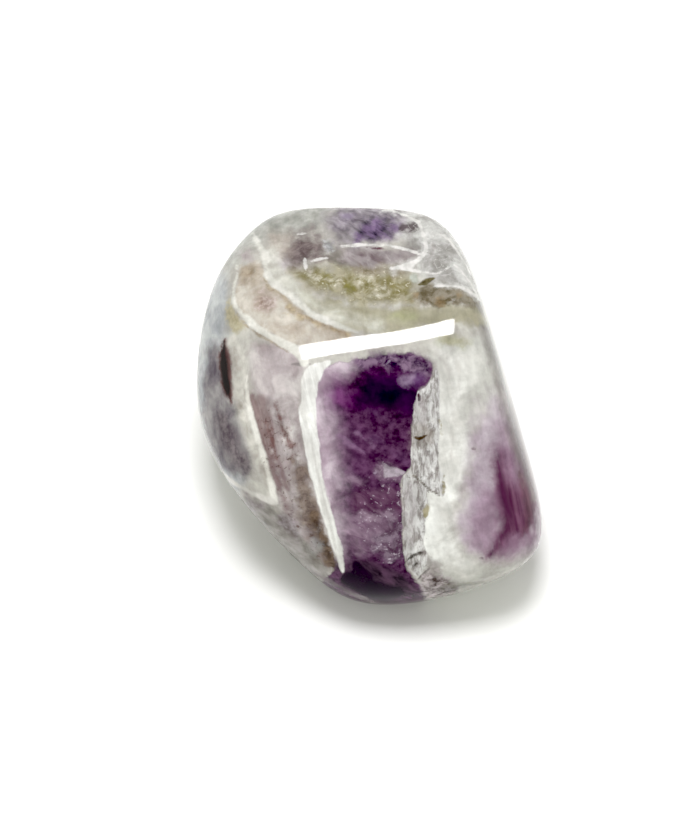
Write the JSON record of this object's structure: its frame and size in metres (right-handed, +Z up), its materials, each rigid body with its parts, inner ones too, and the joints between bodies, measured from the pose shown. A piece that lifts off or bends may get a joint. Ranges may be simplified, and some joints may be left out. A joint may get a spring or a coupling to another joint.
{
  "type": "tumbled amethyst",
  "caption": "Tumbled amethyst pebble: a polished, soft-cornered block of purple and milky white banded quartz that lies on a flat worn side.",
  "frame": {"origin": "on the flat that the stone lies on, under the middle of its bounding box", "axes": "+Z up from that flat; +Y along the stone's length, from its foot toward its crown end; +X to the right when the broad front face looks up and toward the viewer"},
  "size_m": [0.0258, 0.0272, 0.0197],
  "materials": {
    "amethyst": "polished"
  },
  "bodies": {
    "root": {"tumbled_amethyst": "amethyst"}
  },
  "joints": []
}
